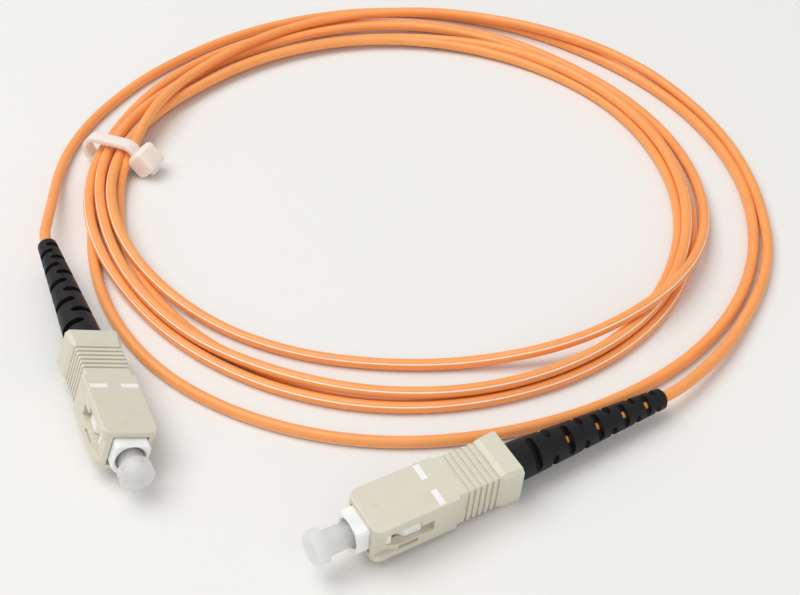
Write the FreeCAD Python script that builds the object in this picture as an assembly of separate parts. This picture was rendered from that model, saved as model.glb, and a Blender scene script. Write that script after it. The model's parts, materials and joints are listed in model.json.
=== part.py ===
import FreeCAD, Part
import math
import os
from FreeCAD import Placement, Rotation, Vector

# Simplex SC to SC fibre patch cord: two push-pull connectors with their boots
# and dust caps on one 2 mm jacketed cable, wound loosely and held by a cable tie.
#
# Millimetres, +Z up, the cord lies on Z = 0. Connector A lies along X with its
# mating end towards +X, and the origin is under the middle of its length.
#
# Each connector is made in its own frame first: the origin is on its axis at the
# grip's front face, +X leaves its mating end, and +Z is the face with the marks.
# A place "behind" something is therefore at a lower X.

# --- clearances -----------------------------------------------------------
SEAT_GAP = 0.02          # round parts pushed together and never moved
RUN_GAP = 0.04           # radial gap of parts that slide on each other
SLIDE_GAP = 0.15         # gap round the plug frame inside the grip
REST_GAP = 0.05          # gap at a stop that a moving part rests near

# --- grip: the push-pull outer sleeve ----------------------------------------
GRIP_LENGTH = 25.75
GRIP_WIDTH = 9.0
GRIP_HEIGHT = 7.4
GRIP_EDGE = 0.25         # rounding of the front section's edges
FRONT_LENGTH = 14.4      # smooth section ahead of the ribs
CORNER_RADIUS = 1.5      # plan-view rounding of the two front corners
WAIST_INSET = 0.5        # each side, at the ribs
RIB_COUNT = 6
RIB_PITCH = 1.06
GROOVE_WIDTH = 0.45
GROOVE_DEPTH = 0.3
FIRST_GROOVE = 16.0      # behind the front face
BLOCK_LENGTH = 3.75      # flared block at the rear
BLOCK_RISE = 0.25        # above and below the front section
BLOCK_WIDTH = 9.2
BLOCK_CHAMFER = 0.65
BLOCK_RAMP = 0.8
GRIP_TRAVEL = 1.8        # forward from the pulled-back stop

# --- key and marks on the grip ---------------------------------------------
KEY_WIDTH = 2.0
KEY_HEIGHT = 1.4
KEY_LENGTH = 7.5
KEY_SETBACK = 0.6
MARK_SETBACK = 11.1
MARK_LENGTH = 1.0
MARK_WIDTH = 2.9
MARK_GAP = 2.3           # between the two marks
MARK_DEPTH = 0.15
GATE_DIAMETER = 0.9
GATE_DEPTH = 0.06
GATE_SETBACK = 2.5

# --- hook channels in the grip's narrow sides ----------------------------------
CHANNEL_WALL = 0.85      # left between a channel and the frame's cavity
CHANNEL_LENGTH = 7.9
CHANNEL_HEIGHT = 4.6
POST_LENGTH = 2.3        # closed wall ahead of the window
WINDOW_HEIGHT = 2.1
RAMP_START = 2.5
RAMP_RUN = 1.6
RAMP_WALL = 0.35
RAMP_FLOOR = 0.3

# --- plug frame: the inner housing --------------------------------------------
FRAME_WIDTH = 5.6
FRAME_HEIGHT = 5.3
FRAME_NOSE = 2.1         # ahead of the grip
FRAME_TAIL = 16.6        # behind the grip's front face
FRAME_LOWER_CHAMFER = 1.0
FRAME_UPPER_CHAMFER = 0.35
SOCKET_DIAMETER = 4.9    # takes the adapter's sleeve holder
SOCKET_DEPTH = 6.7
WALL_LENGTH = 1.0        # web that the ferrule passes through
REAR_BORE_DIAMETER = 4.1
LATCH_PROUD = 0.95       # of the bar on each side that fills the grip's window
LATCH_LENGTH = 6.0
LATCH_HEIGHT = 1.8
CATCH_LENGTH = 0.8       # bar ahead of the notch, where the adapter's hook holds
NOTCH_LENGTH = 1.3
NOTCH_SLOPE = 1.1
NOTCH_DEPTH = 1.25       # below the bar's outer face
SNAP_SETBACK = 14.6
SNAP_LENGTH = 1.2
SNAP_WIDTH = 2.4

# --- ferrule, flange, fibre and spring ------------------------------------------
FERRULE_DIAMETER = 2.5
FERRULE_LENGTH = 10.5
FERRULE_PROUD = 1.5      # ahead of the plug frame's nose
FERRULE_CHAMFER = 0.35
FERRULE_SOCKET = 1.0     # blind socket for the buffer's end
FLANGE_DIAMETER = 3.9
FLANGE_LENGTH = 1.9
FLANGE_SLOT_WIDTH = 0.7
FLANGE_SLOT_DEPTH = 0.45
FLANGE_TAIL_DIAMETER = 1.9
FLANGE_TAIL_LENGTH = 7.6
FERRULE_TRAVEL = 1.2
FIBRE_DIAMETER = 0.9     # tight buffer on the glass
FIBRE_LENGTH = 20.0
FIBRE_GAP = 0.05
SPRING_WIRE = 0.45
SPRING_MEAN_DIAMETER = 2.95
SPRING_TURNS = 6

# --- rear body, crimp and yarn -----------------------------------------------------
SPIGOT_LENGTH = 3.0      # into the plug frame
COLLAR_DIAMETER = 5.2
COLLAR_LENGTH = 1.2
BARREL_DIAMETER = 3.6
BARREL_LENGTH = 6.4
BARREL_GROOVES = 5
BARREL_GROOVE_DEPTH = 0.15
TAIL_BORE_DIAMETER = 2.3
TAIL_BORE_LENGTH = 3.4
FIBRE_BORE_DIAMETER = 1.5
STRAIN_TUBE_DIAMETER = 1.4
YARN_THICKNESS = 0.12
YARN_SETBACK = 0.8       # behind the sleeve's front edge
SLEEVE_SETBACK = 18.2
SLEEVE_WALL = 0.45
SLEEVE_WIDE_LENGTH = 6.6
SLEEVE_CONE_LENGTH = 1.6
SLEEVE_LENGTH = 10.4

# --- boot -----------------------------------------------------------------------------
BOOT_NECK_SETBACK = 18.8
BOOT_NECK_WALL = 0.25
BOOT_SHOULDER_SETBACK = 23.4
BOOT_BASE_DIAMETER = 6.4
BOOT_TIP_DIAMETER = 3.5
BOOT_LENGTH = 30.35      # visible behind the grip
BOOT_COLLAR_LENGTH = 2.4
BOOT_TIP_ROUND = 0.45
BOOT_CABLE_GAP = 0.1
SLOT_ROWS = 10
FIRST_SLOT = 4.2         # behind the grip
SLOT_PITCH_BASE = 3.3
SLOT_PITCH_STEP = 0.16   # each pitch is this much shorter than the last
SLOT_WIDTH_BASE = 1.35
SLOT_WIDTH_TIP = 1.05
WEB_HALF = 0.95          # half of the web that a row of slots leaves
BLIND_ROWS = 2           # rows over the crimp sleeve, which stay shallow
BLIND_WEB_HALF = 1.35
SLOT_SPAN = 0.86         # half length of a slot over the boot's radius there

# --- dust cap --------------------------------------------------------------------------
CAP_NECK_DIAMETER = 4.2
CAP_TIP_DIAMETER = 3.7   # the neck tapers into the socket
CAP_NECK_LENGTH = 2.1    # visible ahead of the plug frame when pushed home
CAP_FLANGE_DIAMETER = 5.6
CAP_FLANGE_LENGTH = 2.1
CAP_EDGE = 0.3
CAP_END_WALL = 1.3
CAP_INSERT_GAP = 0.6     # left in front of the frame's web
CAP_TRAVEL = 13.0
CAP_OUT_A = 2.0          # how far each cap stands out from its home
CAP_OUT_B = 0.0

# --- cable ---------------------------------------------------------------------------------
CABLE_DIAMETER = 2.0
CABLE_START = 27.5       # where the jacket ends inside the crimp sleeve

# --- how the connectors lie ----------------------------------------------------------------
ROLL_A = -7.5            # degrees about the connector's axis
ROLL_B = -21.8
NOSE_UP_A = 2.42         # degrees; the rear of the key and the rear block touch the floor
NOSE_UP_B = -0.06
HEADING_B = 81.4         # degrees from +X, seen from above
FRONT_B = (46.5, -33.4)  # connector B's front face, X and Y
SLOT_TURN_A = 35.0       # degrees from the marked face to the first row of slots
SLOT_TURN_B = -64.0

# --- coil and tie --------------------------------------------------------------------------
COIL_CENTRE = (-26.8, -73.1)
TIE_ANGLE = 316.5        # degrees from +X, seen from above
COIL_SECTIONS = 40
COIL_TRIM = 0.2          # skimmed off the wound shape so that it lies on one flat face
# Clockwise degrees from the tie, inner radius, outer radius, underside, top.
COIL_OUTLINE = [
    (0, 53.8, 61.6, 1.2, 4.8),
    (9, 54.1, 61.8, 1.2, 4.8),
    (27, 54.9, 65.0, 0.0, 4.5),
    (45, 55.2, 64.2, 0.0, 4.2),
    (76, 53.3, 59.4, 0.0, 3.8),
    (130, 51.8, 58.2, 0.0, 3.8),
    (180, 51.4, 58.2, 0.0, 3.8),
    (206, 53.0, 59.4, 0.0, 5.9),
    (232, 50.4, 60.6, 0.0, 4.4),
    (256, 47.6, 60.4, 0.0, 3.8),
    (286, 48.2, 58.8, 0.0, 3.8),
    (314, 50.6, 57.4, 0.0, 4.0),
    (333, 52.4, 59.6, 0.0, 4.6),
    (351, 53.6, 61.3, 1.2, 4.8),
    (360, 53.8, 61.6, 1.2, 4.8),
]
TIE_WIDTH = 2.5
TIE_THICKNESS = 0.9
TIE_SIDE_SLACK = 1.3     # room for the turns inside the loop, to each side
TIE_TOP_SLACK = 0.4
TIE_SHIFT = 0.8          # along the cable from the tie's angle
TIE_SKEW = -11.0         # the loop lies askew across the cable
TIE_HEAD_LENGTH = 4.8
TIE_HEAD_WIDTH = 5.2
TIE_HEAD_HEIGHT = 4.8
TIE_HEAD_ROUND = 1.0
TIE_HEAD_TILT = 45.0
TIE_HEAD_INSET = 2.3     # head's middle from the loop's inner leg
TIE_HEAD_MIDDLE = 3.0    # above the floor
TIE_TAIL_LENGTH = 0.7

# --- cable routes: X, Y and Z from each boot to the coil ------------------------------------
ROUTE_A = [
    (-42.0, -1.4, 2.5),
    (-52.2, -6.3, 1.6),
    (-70.6, -18.2, 1.0),
    (-83.0, -36.0, 1.0),
    (-90.0, -55.4, 1.0),
    (-91.6, -75.6, 1.0),
    (-87.6, -95.2, 1.4),
    (-78.0, -112.8, 3.2),
    (-64.2, -125.6, 3.3),
    (-47.0, -133.8, 2.4),
    (-28.6, -135.8, 3.3),
    (-10.0, -131.0, 3.6),
    (4.4, -121.4, 4.0),
    (14.0, -111.6, 2.3),
]
ROUTE_B = [
    (36.1, -99.0, 4.5),
    (29.5, -111.8, 2.0),
    (15.6, -128.5, 1.0),
    (-3.6, -138.6, 1.0),
    (-25.4, -141.8, 1.0),
    (-45.4, -138.4, 1.0),
    (-62.6, -128.8, 1.0),
    (-76.2, -113.6, 1.0),
    (-85.0, -95.0, 1.0),
    (-88.6, -74.4, 1.0),
    (-87.4, -54.0, 1.0),
    (-80.4, -35.4, 1.0),
    (-67.0, -19.2, 1.0),
    (-49.0, -9.0, 1.0),
    (-28.6, -5.6, 1.0),
    (-7.8, -8.8, 1.0),
    (11.0, -17.6, 1.0),
    (25.4, -32.2, 1.0),
    (33.8, -50.8, 1.0),
    (35.0, -71.0, 1.0),
    (30.0, -90.4, 1.0),
    (20.0, -107.6, 1.8),
]

# --- places that follow from the sizes above ------------------------------------------------
FRAME_WALL_FRONT = FRAME_NOSE - SOCKET_DEPTH
FRAME_WALL_REAR = FRAME_WALL_FRONT - WALL_LENGTH
FERRULE_TIP = FRAME_NOSE + FERRULE_PROUD
FERRULE_REAR = FERRULE_TIP - FERRULE_LENGTH
FLANGE_FRONT = FRAME_WALL_REAR - REST_GAP
FLANGE_REAR = FLANGE_FRONT - FLANGE_LENGTH
SPIGOT_FRONT = -(FRAME_TAIL - SPIGOT_LENGTH)
COLLAR_REAR = -(FRAME_TAIL + COLLAR_LENGTH)
BARREL_REAR = COLLAR_REAR - BARREL_LENGTH
CAVITY_WIDTH = FRAME_WIDTH + 2 * SLIDE_GAP
CAVITY_HEIGHT = FRAME_HEIGHT + 2 * SLIDE_GAP
BLOCK_FRONT = -(GRIP_LENGTH - BLOCK_LENGTH)
WAIST_WIDTH = GRIP_WIDTH - 2 * WAIST_INSET
BLOCK_HEIGHT = GRIP_HEIGHT + 2 * BLOCK_RISE
CHANNEL_FLOOR = CAVITY_WIDTH / 2 + CHANNEL_WALL
LATCH_FRONT = -(POST_LENGTH + REST_GAP)
LATCH_REAR = LATCH_FRONT - LATCH_LENGTH
WINDOW_REAR = LATCH_REAR - GRIP_TRAVEL - REST_GAP
SLEEVE_INNER_RADIUS = BARREL_DIAMETER / 2 + YARN_THICKNESS + 2 * SEAT_GAP
SLEEVE_OUTER_RADIUS = SLEEVE_INNER_RADIUS + SLEEVE_WALL
SLEEVE_REAR = -(SLEEVE_SETBACK + SLEEVE_LENGTH)
BOOT_INNER_RADIUS = SLEEVE_OUTER_RADIUS + SEAT_GAP
BOOT_REAR = -(GRIP_LENGTH + BOOT_LENGTH)
BOOT_OPENING_RADIUS = BOOT_BASE_DIAMETER / 2 + SLIDE_GAP
CAP_FRONT = FRAME_NOSE + CAP_NECK_LENGTH + CAP_FLANGE_LENGTH
CAP_REAR = FRAME_WALL_FRONT + CAP_INSERT_GAP
STRAND = CABLE_DIAMETER

X_AXIS = Vector(1, 0, 0)
Y_AXIS = Vector(0, 1, 0)
Z_AXIS = Vector(0, 0, 1)


# --- small helpers ------------------------------------------------------------------------
def block(x_low, x_high, y_low, y_high, z_low, z_high):
    """A box between two corners."""
    corner = Vector(x_low, y_low, z_low)
    return Part.makeBox(x_high - x_low, y_high - y_low, z_high - z_low, corner)


def centred_block(x_low, x_high, width, height):
    """A box along X, centred on the axis."""
    return block(x_low, x_high, -width / 2, width / 2, -height / 2, height / 2)


def rod(x_low, x_high, diameter):
    """A cylinder along X."""
    return Part.makeCylinder(diameter / 2, x_high - x_low, Vector(x_low, 0, 0), X_AXIS)


def turned(profile):
    """A solid of revolution about X from (x, radius) corners, listed once round."""
    corners = [Vector(x, 0, radius) for x, radius in profile]
    face = Part.Face(Part.makePolygon(corners + corners[:1]))
    return face.revolve(Vector(0, 0, 0), X_AXIS, 360)


def extruded_plan(outline, z_low, z_high):
    """A prism from an (x, y) outline, between two heights."""
    corners = [Vector(x, y, z_low) for x, y in outline]
    face = Part.Face(Part.makePolygon(corners + corners[:1]))
    return face.extrude(Vector(0, 0, z_high - z_low))


def section(x, width, height, chamfer):
    """A rectangle with cut corners, across X."""
    half_w, half_h = width / 2, height / 2
    outline = [
        (half_w - chamfer, half_h), (half_w, half_h - chamfer),
        (half_w, chamfer - half_h), (half_w - chamfer, -half_h),
        (chamfer - half_w, -half_h), (-half_w, chamfer - half_h),
        (-half_w, half_h - chamfer), (chamfer - half_w, half_h),
    ]
    corners = [Vector(x, y, z) for y, z in outline]
    return Part.makePolygon(corners + corners[:1])


def mirrored_pair(shape):
    """The shape and its mirror image across the connector's middle plane."""
    return [shape, shape.mirror(Vector(0, 0, 0), Y_AXIS)]


def one_solid(shape):
    """The single solid of a boolean's result, with its seams merged."""
    solids = shape.removeSplitter().Solids
    if len(solids) != 1:
        raise ValueError(f"expected one solid, found {len(solids)}")
    return solids[0]


# --- the grip --------------------------------------------------------------------------------
def grip_outside():
    """Front section, waist and flared rear block."""
    front = centred_block(-FRONT_LENGTH, 0, GRIP_WIDTH, GRIP_HEIGHT)
    corners = [e for e in front.Edges if abs(e.CenterOfMass.x) < 1e-6 and abs(e.CenterOfMass.z) < 1e-6]
    front = front.makeFillet(CORNER_RADIUS, corners)
    level = [e for e in front.Edges if abs(abs(e.CenterOfMass.z) - GRIP_HEIGHT / 2) < 1e-6]
    rounded = [e for e in level if e.CenterOfMass.x > -FRONT_LENGTH + 1e-6]
    front = front.makeFillet(GRIP_EDGE, rounded)
    waist_chamfer = GRIP_EDGE
    waist = Part.makeLoft([
        section(-FRONT_LENGTH, WAIST_WIDTH, GRIP_HEIGHT, waist_chamfer),
        section(BLOCK_FRONT, WAIST_WIDTH, GRIP_HEIGHT, waist_chamfer),
    ], True, True)
    ramp = Part.makeLoft([
        section(BLOCK_FRONT, WAIST_WIDTH, GRIP_HEIGHT, waist_chamfer),
        section(BLOCK_FRONT - BLOCK_RAMP, BLOCK_WIDTH - WAIST_INSET, BLOCK_HEIGHT, BLOCK_CHAMFER),
    ], True, True)
    rear = Part.makeLoft([
        section(BLOCK_FRONT - BLOCK_RAMP, BLOCK_WIDTH - WAIST_INSET, BLOCK_HEIGHT, BLOCK_CHAMFER),
        section(-GRIP_LENGTH, BLOCK_WIDTH, BLOCK_HEIGHT, BLOCK_CHAMFER),
    ], True, True)
    return front.fuse([waist, ramp, rear])


def grip_grooves():
    """Ring cuts that leave the finger ribs."""
    rings = []
    for index in range(RIB_COUNT):
        x_high = -(FIRST_GROOVE + index * RIB_PITCH)
        x_low = x_high - GROOVE_WIDTH
        outer = centred_block(x_low, x_high, 2 * GRIP_WIDTH, 2 * GRIP_HEIGHT)
        core = centred_block(x_low - 1, x_high + 1, WAIST_WIDTH - 2 * GROOVE_DEPTH,
                             GRIP_HEIGHT - 2 * GROOVE_DEPTH)
        rings.append(outer.cut(core))
    return rings


def grip_cuts():
    """Every hollow in the grip."""
    half_window = WINDOW_HEIGHT / 2
    cavity = centred_block(BLOCK_FRONT - SLIDE_GAP, 1, CAVITY_WIDTH, CAVITY_HEIGHT)
    boot_opening = rod(-GRIP_LENGTH - 1, BLOCK_FRONT, 2 * BOOT_OPENING_RADIUS)
    channel = block(-CHANNEL_LENGTH, 1, CHANNEL_FLOOR, GRIP_WIDTH,
                    -CHANNEL_HEIGHT / 2, CHANNEL_HEIGHT / 2)
    window = block(WINDOW_REAR, -POST_LENGTH, 0, GRIP_WIDTH, -half_window, half_window)
    sides = mirrored_pair(channel) + mirrored_pair(window)
    return [cavity, boot_opening] + sides + grip_grooves()


def unlocking_ramps():
    """Wedges below the windows that push the adapter's hooks outwards, and their hollows."""
    top_start = RAMP_START + RAMP_RUN
    outer = GRIP_WIDTH / 2
    low, high = -CHANNEL_HEIGHT / 2, -WINDOW_HEIGHT / 2
    wedge = extruded_plan([(-RAMP_START, CHANNEL_FLOOR), (-top_start, outer),
                           (-CHANNEL_LENGTH, outer), (-CHANNEL_LENGTH, CHANNEL_FLOOR)], low, high)
    hollow = block(-CHANNEL_LENGTH + RAMP_WALL, -top_start, CHANNEL_FLOOR - RAMP_FLOOR, outer + 1,
                   low, high - RAMP_WALL)
    return mirrored_pair(wedge.cut(hollow)), mirrored_pair(hollow)


def grip_key():
    """The polarising key under the grip."""
    top = -GRIP_HEIGHT / 2 + GRIP_EDGE
    bottom = -GRIP_HEIGHT / 2 - KEY_HEIGHT
    key = block(-KEY_SETBACK - KEY_LENGTH, -KEY_SETBACK, -KEY_WIDTH / 2, KEY_WIDTH / 2, bottom, top)
    ends = [e for e in key.Edges if abs(e.CenterOfMass.y) < 1e-6 and abs(e.CenterOfMass.z - bottom) < 1e-6]
    return key.makeChamfer(GRIP_EDGE, ends)


def mark_blocks(depth, lift):
    """The two marks' boxes, sunk by depth and standing proud by lift."""
    face = GRIP_HEIGHT / 2
    inner = MARK_GAP / 2
    mark = block(-MARK_SETBACK - MARK_LENGTH, -MARK_SETBACK, inner, inner + MARK_WIDTH,
                 face - depth, face + lift)
    return mirrored_pair(mark)


def grip():
    body = grip_outside().cut(grip_cuts())
    ramps, hollows = unlocking_ramps()
    body = body.fuse(ramps + [grip_key()])
    gate = Part.makeCylinder(GATE_DIAMETER / 2, 1, Vector(-GATE_SETBACK, 0, GRIP_HEIGHT / 2 - GATE_DEPTH))
    return one_solid(body.cut(hollows + mark_blocks(MARK_DEPTH, 1) + [gate]))


def insertion_marks():
    return Part.makeCompound(mark_blocks(MARK_DEPTH, 0))


# --- the plug frame and what it holds ----------------------------------------------------------
def plug_frame():
    """Inner housing: socket, web, latch blocks, stop shoulders and snap windows."""
    half_w, half_h = FRAME_WIDTH / 2, FRAME_HEIGHT / 2
    upper, lower = FRAME_UPPER_CHAMFER, FRAME_LOWER_CHAMFER
    outline = [(half_w - upper, half_h), (half_w, half_h - upper), (half_w, lower - half_h),
               (half_w - lower, -half_h), (lower - half_w, -half_h), (-half_w, lower - half_h),
               (-half_w, half_h - upper), (upper - half_w, half_h)]
    corners = [Vector(-FRAME_TAIL, y, z) for y, z in outline]
    body = Part.Face(Part.makePolygon(corners + corners[:1])).extrude(Vector(FRAME_NOSE + FRAME_TAIL, 0, 0))
    face, deep = half_w + LATCH_PROUD, half_w + LATCH_PROUD - NOTCH_DEPTH
    notch_front = LATCH_FRONT - CATCH_LENGTH
    notch_rear = notch_front - NOTCH_LENGTH
    root = half_w - FRAME_UPPER_CHAMFER
    bar = extruded_plan([(LATCH_FRONT, root), (LATCH_FRONT, face), (LATCH_REAR, face), (LATCH_REAR, root)],
                        -LATCH_HEIGHT / 2, LATCH_HEIGHT / 2)
    notch = extruded_plan([(notch_front, face + 1), (notch_front, deep), (notch_rear, deep),
                           (notch_rear - NOTCH_SLOPE, face), (notch_rear - NOTCH_SLOPE, face + 1)],
                          -LATCH_HEIGHT, LATCH_HEIGHT)
    body = body.fuse(mirrored_pair(bar))
    mouth = Part.makeCone(SOCKET_DIAMETER / 2, SOCKET_DIAMETER / 2 + 0.2, 0.2,
                          Vector(FRAME_NOSE - 0.2, 0, 0), X_AXIS)
    snap = block(-SNAP_SETBACK - SNAP_LENGTH, -SNAP_SETBACK, -SNAP_WIDTH / 2, SNAP_WIDTH / 2,
                 -FRAME_HEIGHT, FRAME_HEIGHT)
    cuts = [rod(FRAME_WALL_FRONT, FRAME_NOSE, SOCKET_DIAMETER), mouth,
            rod(FRAME_WALL_REAR, FRAME_WALL_FRONT, FERRULE_DIAMETER + 2 * RUN_GAP),
            rod(-FRAME_TAIL, FRAME_WALL_REAR, REAR_BORE_DIAMETER), snap]
    return one_solid(body.cut(cuts + mirrored_pair(notch)))


def ferrule():
    """Ceramic pin that centres the glass."""
    radius = FERRULE_DIAMETER / 2
    nose = FERRULE_CHAMFER
    socket = FIBRE_DIAMETER / 2 + FIBRE_GAP
    return turned([(FERRULE_REAR, socket), (FERRULE_REAR, radius), (FERRULE_TIP - nose, radius),
                   (FERRULE_TIP, radius - nose), (FERRULE_TIP, 0),
                   (FERRULE_REAR + FERRULE_SOCKET, 0), (FERRULE_REAR + FERRULE_SOCKET, socket)])


def ferrule_flange():
    """Metal hub on the ferrule, with its key slots and its tail tube."""
    tail_rear = FLANGE_REAR - FLANGE_TAIL_LENGTH
    outer, tail = FLANGE_DIAMETER / 2, FLANGE_TAIL_DIAMETER / 2
    seat, bore = FERRULE_DIAMETER / 2 + SEAT_GAP, FIBRE_DIAMETER / 2 + FIBRE_GAP
    body = turned([(tail_rear, bore), (tail_rear, tail), (FLANGE_REAR, tail), (FLANGE_REAR, outer),
                   (FLANGE_FRONT, outer), (FLANGE_FRONT, seat), (FERRULE_REAR - SEAT_GAP, seat),
                   (FERRULE_REAR - SEAT_GAP, bore)])
    slots = []
    for turn in range(4):
        slot = block(FLANGE_REAR - 0.1, FLANGE_FRONT + 0.1, outer - FLANGE_SLOT_DEPTH, outer + 1,
                     -FLANGE_SLOT_WIDTH / 2, FLANGE_SLOT_WIDTH / 2)
        slots.append(slot.rotated(Vector(0, 0, 0), X_AXIS, 45 + 90 * turn))
    return one_solid(body.cut(slots))


def ferrule_spring():
    """Helical spring between the flange and the rear body."""
    wire = SPRING_WIRE / 2
    front = FLANGE_REAR - wire - REST_GAP
    rear = SPIGOT_FRONT + wire + REST_GAP
    length = front - rear
    helix = Part.makeHelix(length / SPRING_TURNS, length, SPRING_MEAN_DIAMETER / 2)
    start = Vector(SPRING_MEAN_DIAMETER / 2, 0, 0)
    circle = Part.Wire(Part.makeCircle(wire, start, Y_AXIS))
    coil = Part.Wire(helix).makePipeShell([circle], True, True)
    coil = coil.rotated(Vector(0, 0, 0), Y_AXIS, 90)
    return coil.translated(Vector(rear, 0, 0)).Solids[0]


def buffered_fibre():
    tip = FERRULE_REAR + FERRULE_SOCKET - FIBRE_GAP
    return rod(tip - FIBRE_LENGTH, tip, FIBRE_DIAMETER)


# --- rear body, crimp and cable end ----------------------------------------------------------------
def stop_ring():
    """Rear body: snaps into the plug frame, seats the spring and carries the crimp."""
    spigot = REAR_BORE_DIAMETER / 2 - SEAT_GAP
    collar, barrel = COLLAR_DIAMETER / 2, BARREL_DIAMETER / 2
    tail_bore, fibre_bore = TAIL_BORE_DIAMETER / 2, FIBRE_BORE_DIAMETER / 2
    step = SPIGOT_FRONT - TAIL_BORE_LENGTH
    body = turned([(BARREL_REAR, fibre_bore), (BARREL_REAR, barrel), (COLLAR_REAR, barrel),
                   (COLLAR_REAR, collar), (-FRAME_TAIL, collar), (-FRAME_TAIL, spigot),
                   (SPIGOT_FRONT, spigot), (SPIGOT_FRONT, tail_bore), (step, tail_bore),
                   (step, fibre_bore)])
    gap = 2 * SEAT_GAP
    barb_top = FRAME_HEIGHT / 2 - gap
    barb = block(-SNAP_SETBACK - SNAP_LENGTH + gap, -SNAP_SETBACK - gap, gap - SNAP_WIDTH / 2,
                 SNAP_WIDTH / 2 - gap, spigot - 0.4, barb_top)
    body = body.fuse([barb, barb.mirror(Vector(0, 0, 0), Z_AXIS)])
    rings = []
    pitch = BARREL_LENGTH / (BARREL_GROOVES + 1)
    for index in range(BARREL_GROOVES):
        x_mid = COLLAR_REAR - pitch * (index + 1)
        ring = rod(x_mid - pitch / 4, x_mid + pitch / 4, 2 * BARREL_DIAMETER)
        core = rod(x_mid - pitch, x_mid + pitch, BARREL_DIAMETER - 2 * BARREL_GROOVE_DEPTH)
        rings.append(ring.cut(core))
    return one_solid(body.cut(rings))


def strain_tube():
    """Thin tube that guides the buffered fibre through the rear body."""
    outer = STRAIN_TUBE_DIAMETER / 2
    bore = FIBRE_DIAMETER / 2 + FIBRE_GAP
    front = SPIGOT_FRONT - TAIL_BORE_LENGTH - REST_GAP
    rear = -(CABLE_START - REST_GAP)
    return turned([(rear, bore), (rear, outer), (front, outer), (front, bore)])


def aramid_yarn():
    """Yarn folded back over the barrel and caught by the crimp sleeve."""
    wide, narrow = SLEEVE_INNER_RADIUS - SEAT_GAP, CABLE_DIAMETER / 2
    step = -(SLEEVE_SETBACK + SLEEVE_WIDE_LENGTH)
    neck = step - SLEEVE_CONE_LENGTH
    front = -(SLEEVE_SETBACK + YARN_SETBACK)
    rear = -(CABLE_START - REST_GAP)
    thin = YARN_THICKNESS
    return turned([(rear, narrow - thin), (rear, narrow), (neck, narrow), (step, wide),
                   (front, wide), (front, wide - thin), (step, wide - thin), (neck, narrow - thin)])


def crimp_sleeve():
    """Stepped metal sleeve: wide over the barrel, narrow over the jacket."""
    front = -SLEEVE_SETBACK
    step = front - SLEEVE_WIDE_LENGTH
    narrow = step - SLEEVE_CONE_LENGTH
    jacket = CABLE_DIAMETER / 2 + SEAT_GAP
    return turned([(SLEEVE_REAR, jacket), (SLEEVE_REAR, jacket + SLEEVE_WALL),
                   (narrow, jacket + SLEEVE_WALL), (step, SLEEVE_OUTER_RADIUS),
                   (front, SLEEVE_OUTER_RADIUS), (front, SLEEVE_INNER_RADIUS),
                   (step, SLEEVE_INNER_RADIUS), (narrow, jacket)])


# --- boot and cap -------------------------------------------------------------------------------------
def boot_radius(x):
    """The boot's outer radius at a place along its axis."""
    taper_front = -(GRIP_LENGTH + BOOT_COLLAR_LENGTH)
    base, tip = BOOT_BASE_DIAMETER / 2, BOOT_TIP_DIAMETER / 2
    share = (taper_front - x) / (taper_front - BOOT_REAR)
    return base + (tip - base) * min(max(share, 0.0), 1.0)


def boot_slots(slot_turn):
    """Pairs of round-ended slots, each row a quarter turn from the last."""
    cutters = []
    distance = FIRST_SLOT
    for row in range(SLOT_ROWS):
        x_mid = -(GRIP_LENGTH + distance)
        share = row / (SLOT_ROWS - 1)
        half = (SLOT_WIDTH_BASE + (SLOT_WIDTH_TIP - SLOT_WIDTH_BASE) * share) / 2
        reach = SLOT_SPAN * boot_radius(x_mid) - half
        web = BLIND_WEB_HALF if row < BLIND_ROWS else WEB_HALF
        slab = block(x_mid - half, x_mid + half, -reach, reach, web, BOOT_BASE_DIAMETER)
        ends = [Part.makeCylinder(half, BOOT_BASE_DIAMETER, Vector(x_mid, side, web))
                for side in (-reach, reach)]
        slot = slab.fuse(ends)
        for half_turn in (0, 180):
            angle = -(slot_turn + 90 * (row % 2) + half_turn)
            cutters.append(slot.rotated(Vector(0, 0, 0), X_AXIS, angle))
        distance += SLOT_PITCH_BASE - SLOT_PITCH_STEP * row
    return cutters


def boot(slot_turn):
    """Tapered segmented strain relief."""
    base, tip = BOOT_BASE_DIAMETER / 2, BOOT_TIP_DIAMETER / 2
    bore = CABLE_DIAMETER / 2 + BOOT_CABLE_GAP
    neck_front, shoulder = -BOOT_NECK_SETBACK, -BOOT_SHOULDER_SETBACK
    neck = BOOT_INNER_RADIUS + BOOT_NECK_WALL
    collar_rear = -(GRIP_LENGTH + BOOT_COLLAR_LENGTH)
    sleeve_step = -(SLEEVE_SETBACK + SLEEVE_WIDE_LENGTH + SEAT_GAP)
    narrow_step = SLEEVE_REAR - SEAT_GAP
    narrow = CABLE_DIAMETER / 2 + 2 * SEAT_GAP + SLEEVE_WALL
    body = turned([
        (neck_front, BOOT_INNER_RADIUS), (neck_front, neck), (shoulder, neck), (shoulder, base),
        (collar_rear, base), (BOOT_REAR + BOOT_TIP_ROUND, tip), (BOOT_REAR, tip - BOOT_TIP_ROUND),
        (BOOT_REAR, bore), (narrow_step, bore), (narrow_step, narrow),
        (sleeve_step - SLEEVE_CONE_LENGTH, narrow), (sleeve_step, BOOT_INNER_RADIUS)])
    return one_solid(body.cut(boot_slots(slot_turn)))


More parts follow.
